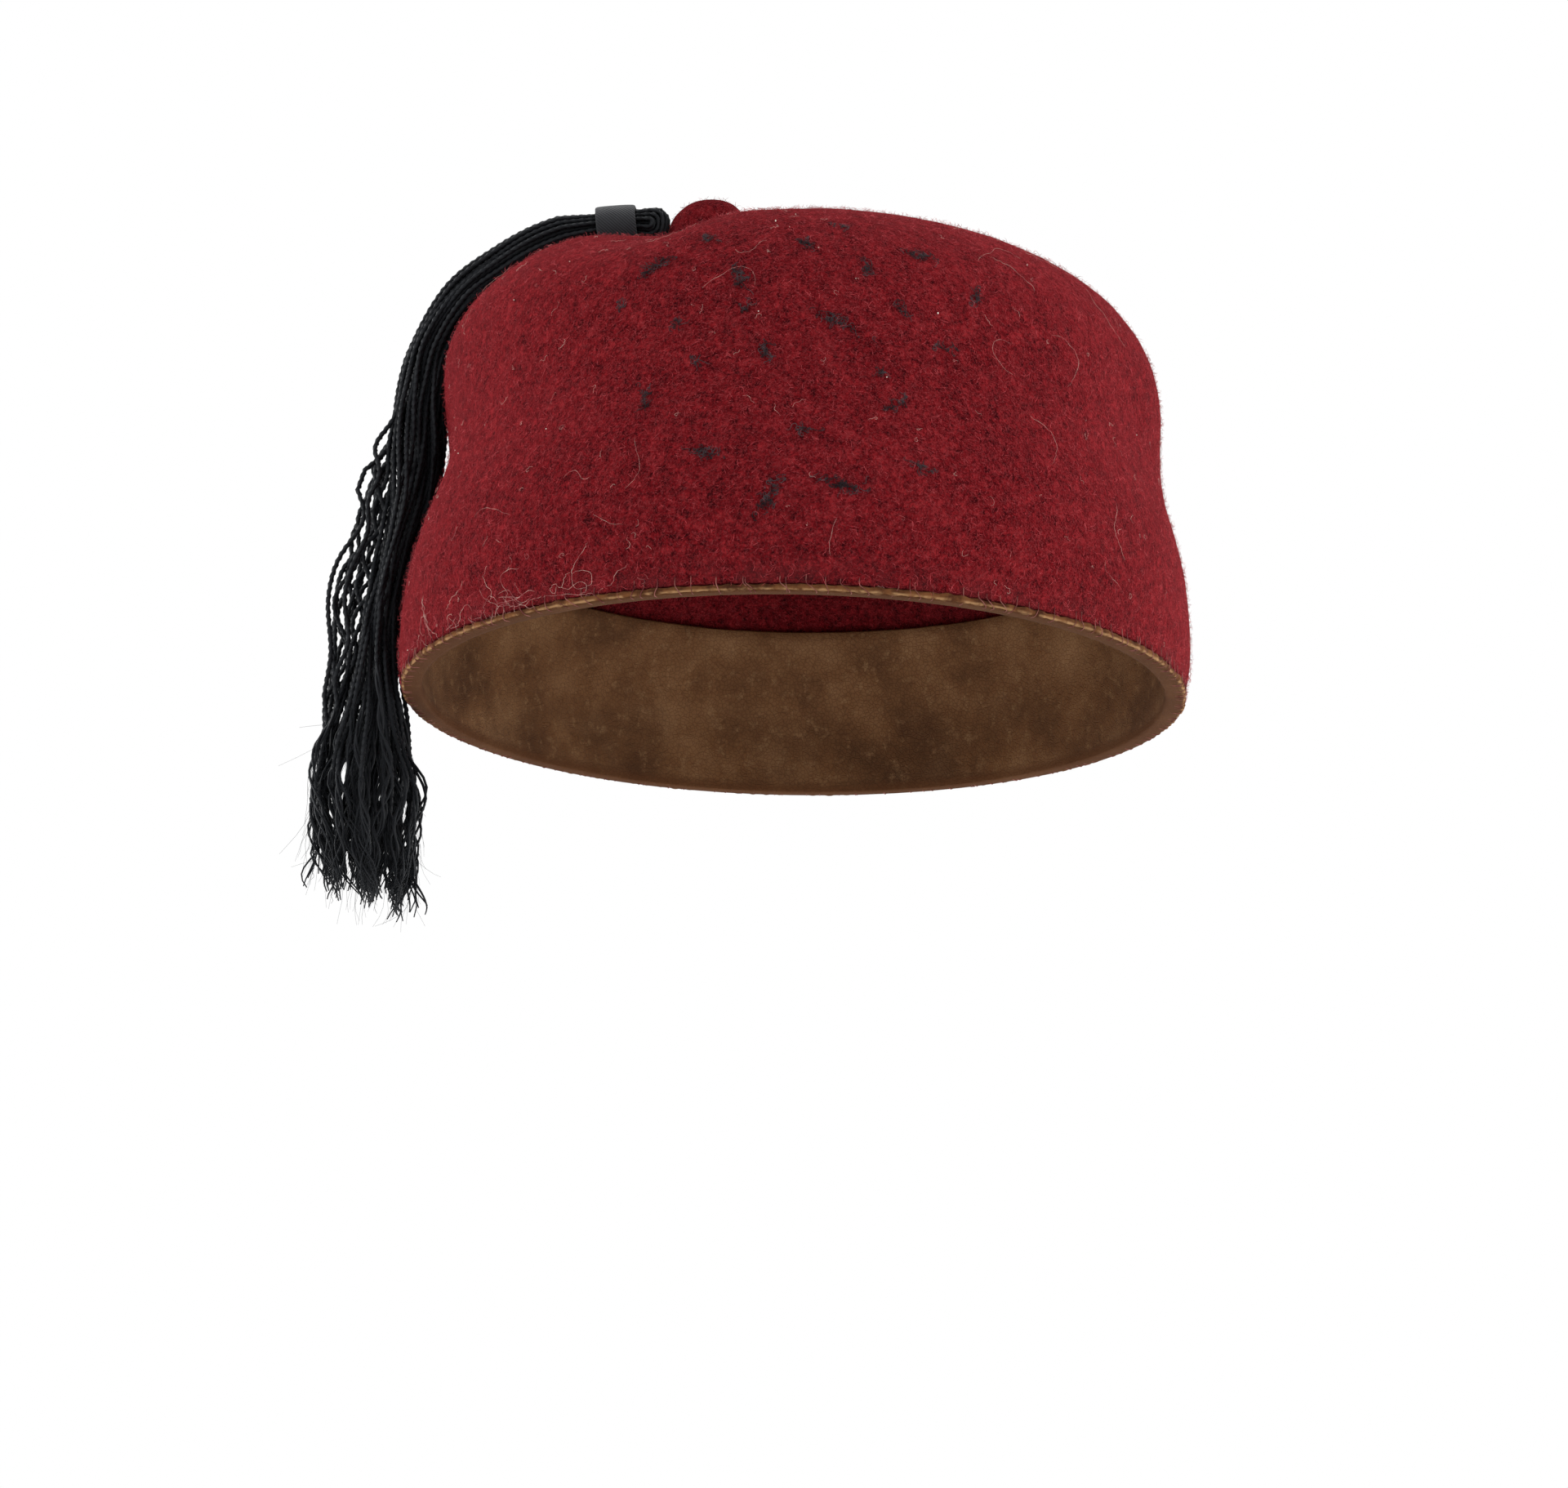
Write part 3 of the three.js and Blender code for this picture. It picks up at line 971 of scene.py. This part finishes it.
def frayed_plies(cords, material):
    """Where a cord's twist has come undone: its three plies, drifting apart to the cut end."""
    draw = np.random.default_rng(33)
    share = np.linspace(0, 1, PLY_STEPS)
    paths = []
    for ply in range(3):
        extra = draw.uniform(-3, 4, cords.count) * MM
        distance = cords.fray[:, None] - 1 * MM
        distance = distance + (cords.end + extra - cords.fray + 1 * MM)[:, None] * share
        middle = cords.paths(distance)
        spread = (0.3 + draw.uniform(0.4, 1.7, (cords.count, 1)) * share**1.3) * MM
        slowing = (distance - distance[:, :1]) / PLY_PITCH * TURN * 0.35
        angle = ply * TURN / 3 + slowing + draw.uniform(0, TURN, (cords.count, 1))
        offset = np.stack([np.cos(angle), np.sin(angle), 0 * angle], axis=-1) * spread[..., None]
        paths.append(middle + offset)
    radii = 0.32 * MM * (1 - 0.6 * share**3)
    points, faces = tubes(np.concatenate(paths), radii, 4, (0.05, 1, 0))
    hand_over(piece_from("tassel_plies", points, faces), "tassel_cord", material)
    return np.concatenate(paths)


# Loose hairs: the part of the frayed plies that they leave from, as shares of its length, how long
# and thick they are in mm and how far they stray.
HAIRS = table(
    "count from length stray radius",
    (460, (0.0, 0.45), (8, 20), 0.13, 0.055),
    (60, (0.85, 1.0), (2, 5), 0.14, 0.090),
    (70, (0.0, 0.8), (5, 15), 0.42, 0.050),
    (2, (0.95, 1.0), (12, 14), 0.05, 0.060),
)
HAIR_STEPS = 9


def loose_hairs(plies, material):
    draw = np.random.default_rng(34)
    share = np.linspace(0, 1, HAIR_STEPS)[:, None]
    parts = []
    for row in HAIRS:
        count = row["count"]
        owner = draw.integers(0, len(plies), count)
        step = draw.uniform(*row["from"], count) * (PLY_STEPS - 2)
        root = plies[owner, step.astype(int)]
        length = draw.uniform(*row["length"], (count, 1)) * MM
        heading = unit(np.array((0, 0, -1.0)) + draw.normal(0, row["stray"], (count, 3)))
        bend = draw.normal(0, row["stray"], (count, 3)) * (1, 1, 0.3)
        wiggle = draw.uniform(0, TURN, (count, 1, 1)) + share * draw.uniform(4, 11, (count, 1, 1))
        sway = np.concatenate([np.sin(wiggle), np.cos(wiggle * 0.8), 0 * wiggle], axis=2)
        paths = root[:, None] + length[:, None] * (heading[:, None] * share)
        paths = paths + length[:, None] * bend[:, None] * share**2 + sway * share * 0.5 * MM
        radii = row["radius"] * MM * (1 - 0.6 * share[:, 0])
        parts.append(tubes(paths, radii, 3, (0.1, 1, 0)))
    hand_over(piece_from("tassel_hairs", *joined(parts)), "tassel_cord", material)


# The ribbon: the row of BUNDLE at its middle, its length along the bundle and thickness, how far it
# clears the bundle, and how far its middle bulges, its surface crumples and its edges wander.
RIBBON = {"row": 1.5, "long": 9.0 * MM, "thick": 0.6 * MM, "clear": 0.45 * MM}
RIBBON_WEAR = {"bulge": 0.16 * MM, "crumple": 0.1 * MM, "wander": 0.35 * MM}
RIBBON_SIDES = 56


def ribbon_wrap(bundle, material):
    """The ribbon: an open cylinder squeezed to the bundle's oval, given a wall and worn edges."""
    here = catmull_rom(bundle.rows, np.array([RIBBON["row"]]))[0]
    ahead = catmull_rom(bundle.rows, np.array([RIBBON["row"] - 0.1, RIBBON["row"] + 0.1]))
    tangent = Vector(ahead[1][:3] - ahead[0][:3]).normalized()
    wide, thick = here[4] + RIBBON["clear"], here[3] + RIBBON["clear"]
    deselect_all()
    bpy.ops.mesh.primitive_cylinder_add(
        vertices=RIBBON_SIDES, radius=1, depth=RIBBON["long"], end_fill_type="NOTHING", calc_uvs=False
    )
    wrap = bpy.context.object
    wrap.name = "ribbon_wrap"
    bpy.ops.object.mode_set(mode="EDIT")
    bpy.ops.mesh.select_all(action="SELECT")
    bpy.ops.transform.resize(value=(wide, thick, 1))
    bpy.ops.mesh.select_mode(type="EDGE")
    bpy.ops.mesh.select_all(action="DESELECT")
    bpy.ops.object.mode_set(mode="OBJECT")
    unroll(wrap, (wide + thick) / 2)
    mesh = wrap.data
    for edge in mesh.edges:
        one, other = (mesh.vertices[i].co.z for i in edge.vertices)
        edge.select = abs(one - other) > 1 * MM
    bpy.ops.object.mode_set(mode="EDIT")
    bpy.ops.mesh.subdivide(number_cuts=7)
    bpy.ops.mesh.select_mode(type="VERT")
    bpy.ops.object.mode_set(mode="OBJECT")
    for vertex in mesh.vertices:
        bulge = RIBBON_WEAR["bulge"] * math.cos(vertex.co.z / RIBBON["long"] * math.pi)
        crumple = RIBBON_WEAR["crumple"] * noise.noise(vertex.co / (2.4 * MM))
        outwards = Vector((vertex.co.x, vertex.co.y, 0)).normalized()
        vertex.co += outwards * (bulge + crumple)
        bearing = math.atan2(vertex.co.y, vertex.co.x)
        vertex.co.z += RIBBON_WEAR["wander"] * math.sin(bearing + 0.6)
    across = Vector((0, 1, 0))
    outwards = across.cross(tangent).normalized()
    across = tangent.cross(outwards) * -1
    turn = Matrix((across, outwards, across.cross(outwards))).transposed().to_4x4()
    wrap.matrix_world = Matrix.Translation(Vector(here[:3])) @ turn
    make_active(wrap)
    bpy.ops.object.transform_apply(location=True, rotation=True, scale=True)
    wall = wrap.modifiers.new("wall", "SOLIDIFY")
    wall.thickness = RIBBON["thick"]
    wall.offset = 1
    bpy.ops.object.modifier_apply(modifier=wall.name)
    subdivide(wrap, 1)
    hand_over(wrap, "tassel_ribbon", material, "tassel_ribbon")


def unroll(wrap, radius):
    """A UV map in metres, round the ribbon and along it."""
    mesh = wrap.data
    layer = mesh.uv_layers.new(name="unrolled")
    for polygon in mesh.polygons:
        middle = math.atan2(polygon.center.y, polygon.center.x)
        for loop in polygon.loop_indices:
            corner = mesh.vertices[mesh.loops[loop].vertex_index].co
            angle = math.atan2(corner.y, corner.x)
            angle -= round((angle - middle) / TURN) * TURN
            layer.data[loop].uv = (angle * radius, corner.z)


# ----------------------------
# Wear: dark wool left in the front, and lint
# ----------------------------

# Tufts of dark wool caught in the front of the felt with no pattern: bearing from the front in
# degrees, height and spread in mm, and how many hairs they have.
TUFTS = table(
    "bearing height spread hairs",
    (-20, 74, 3.4, 33),
    (-13, 80, 1.7, 15),
    (-8, 70, 3.0, 27),
    (1, 78, 1.8, 18),
    (9, 72, 2.2, 18),
    (17, 77, 3.0, 27),
    (24, 68, 1.9, 18),
    (-16, 60, 1.6, 13),
    (5, 59, 3.6, 36),
    (19, 55, 1.5, 12),
    (-4, 52, 2.4, 21),
    (-19, 43, 2.6, 21),
    (12, 41, 2.6, 22),
    (1, 34, 1.6, 13),
    (-11, 29, 3.2, 30),
    (15, 27, 2.3, 19),
    (-3, 19, 4.2, 51),
    (5, 22, 4.0, 45),
    (-25, 66, 1.4, 10),
    (13, 63, 1.6, 12),
    (-7, 62, 1.2, 9),
    (10, 48, 1.3, 10),
    (-13, 50, 1.4, 10),
    (6, 84, 1.5, 12),
)
# A tuft's hairs: how they scatter along and aside as shares of its spread, how their headings fan
# out, and their length, curl, lift and radius, in mm.
TUFT_HAIR = {
    "along": 0.62,
    "aside": 0.15,
    "fan": 0.7,
    "length": (1.4, 4.2),
    "curl": 0.42,
    "lift": (0.05, 0.45),
    "radius": 0.080,
}
HAIR_POINTS = 16


def laid_hairs(surface, draw, hairs, radius):
    """Tubes for hairs strolling over the felt, each given as start, heading, length, curl, lift."""
    paths, hints = [], []
    for start, heading, length, curl, lift in hairs:
        path, normal = surface.stroll(draw, start, heading, length, HAIR_POINTS, curl, lift)
        paths.append(path)
        hints.append(normal + Vector(draw.normal(0, 0.05, 3)))
    taper = 1 - 0.5 * np.linspace(-1, 1, HAIR_POINTS) ** 4
    return tubes(np.array(paths), radius * taper, 3, np.array(hints))


def dark_wool(surface, material):
    draw = np.random.default_rng(41)
    hairs = []
    for row in TUFTS:
        bearing = math.radians(row["bearing"])
        centre, normal = surface.facing(bearing, row["height"] * MM)
        lean = draw.uniform(0, TURN)
        long_way = Matrix.Rotation(lean, 3, normal) @ normal.orthogonal().normalized()
        short_way = normal.cross(long_way)
        for _ in range(row["hairs"]):
            along = draw.normal(0, TUFT_HAIR["along"]) * row["spread"]
            aside = draw.normal(0, TUFT_HAIR["aside"]) * row["spread"]
            start = centre + (long_way * along + short_way * aside) * MM
            heading = long_way + short_way * draw.normal(0, TUFT_HAIR["fan"])
            length = draw.uniform(*TUFT_HAIR["length"]) * MM
            lift = draw.uniform(*TUFT_HAIR["lift"]) * MM
            hairs.append((start, heading, length, TUFT_HAIR["curl"], lift))
    points, faces = laid_hairs(surface, draw, hairs, TUFT_HAIR["radius"] * MM)
    hand_over(piece_from("dark_wool", points, faces), "wool_felt", material)


# Lint on the felt: pale hairs by kind, in mm. The last kind lies along the edge between two
# bearings from the front in degrees, as the felt's own fuzz does all round.
KINDS = "count length curl radius lift edge"
LINT = table(
    KINDS,
    (40, (7, 22), 0.14, 0.026, 0.35, None),
    (380, (1.5, 4.5), 0.30, 0.030, 0.30, None),
    (40, (4, 14), 0.17, 0.032, 0.60, (-62, -22)),
)
RIM_FUZZ = table(KINDS, (300, (1.5, 6), 0.20, 0.030, 0.50, (-180, 180)))


def lint(name, kinds, surface, seed, material):
    draw = np.random.default_rng(seed)
    parts = []
    for row in kinds:
        hairs = []
        for _ in range(row["count"]):
            if row["edge"]:
                bearing = math.radians(draw.uniform(*row["edge"]))
                start, _ = surface.facing(bearing, FELT_EDGE + abs(draw.normal(0, 2.0)) * MM)
                heading = Vector((-math.cos(bearing), -math.sin(bearing), draw.normal(0, 0.5)))
                heading *= draw.choice((-1, 1))
            else:
                places, _ = surface.scatter(draw, 1)
                start, heading = Vector(places[0]), Vector(draw.normal(size=3))
            length = draw.uniform(*row["length"]) * MM
            hairs.append((start, heading, length, row["curl"], row["lift"] * MM))
        parts.append(laid_hairs(surface, draw, hairs, row["radius"] * MM))
    hand_over(piece_from(name, *joined(parts)), "wool_felt", material)


SPECKS = 46


def specks(surface, material):
    """Flecks of dust, each a tiny crumb."""
    draw = np.random.default_rng(43)
    places, normals = surface.scatter(draw, SPECKS)
    deselect_all()
    bpy.ops.mesh.primitive_ico_sphere_add(subdivisions=1, radius=1)
    crumb = bpy.context.object
    corners = np.array([v.co for v in crumb.data.vertices])
    faces = [list(p.vertices) for p in crumb.data.polygons]
    bpy.data.objects.remove(crumb)
    parts = []
    for place, normal in zip(places, normals):
        size = draw.uniform(0.09, 0.2) * MM * draw.uniform(0.6, 1.3, 3)
        parts.append((place + normal * 0.15 * MM + corners * size, faces))
    hand_over(piece_from("lint_specks", *joined(parts)), "wool_felt", material)


# ----------------------------
# The hat
# ----------------------------


def build():
    add_camera()
    add_lights()
    add_floor()
    crown = felt_body(felt_finish())
    surface = Surface(crown)
    rim = Rim()
    fuzz = wool_fibre_finish("nap_fibres", (0.16, 0.009, 0.013), (0.52, 0.080, 0.092))
    nap(surface, fuzz)
    band(leather_finish())
    turned_edge(rim, leather_edge_finish())
    thread = wool_fibre_finish("stitch_thread", (0.085, 0.016, 0.018), (0.240, 0.090, 0.075))
    whip_stitches(rim, surface, thread)
    cord = cord_finish()
    bundle = Bundle()
    cords = Cords(bundle)
    folded_cords(cords, cord)
    plies = frayed_plies(cords, cord)
    loose_hairs(plies, wool_fibre_finish("tassel_wisps", (0.004, 0.005, 0.006), (0.024, 0.027, 0.031)))
    ribbon_wrap(bundle, ribbon_finish())
    charcoal = wool_fibre_finish("dark_wool", (0.015, 0.010, 0.012), (0.062, 0.044, 0.049))
    dark_wool(surface, charcoal)
    pale = wool_fibre_finish("lint", (0.34, 0.11, 0.11), (0.62, 0.42, 0.36))
    lint("lint_hairs", LINT, surface, 42, pale)
    lint("rim_fuzz", RIM_FUZZ, surface, 44, fuzz)
    specks(surface, wool_fibre_finish("dust", (0.45, 0.30, 0.24), (0.80, 0.74, 0.66)))


build()
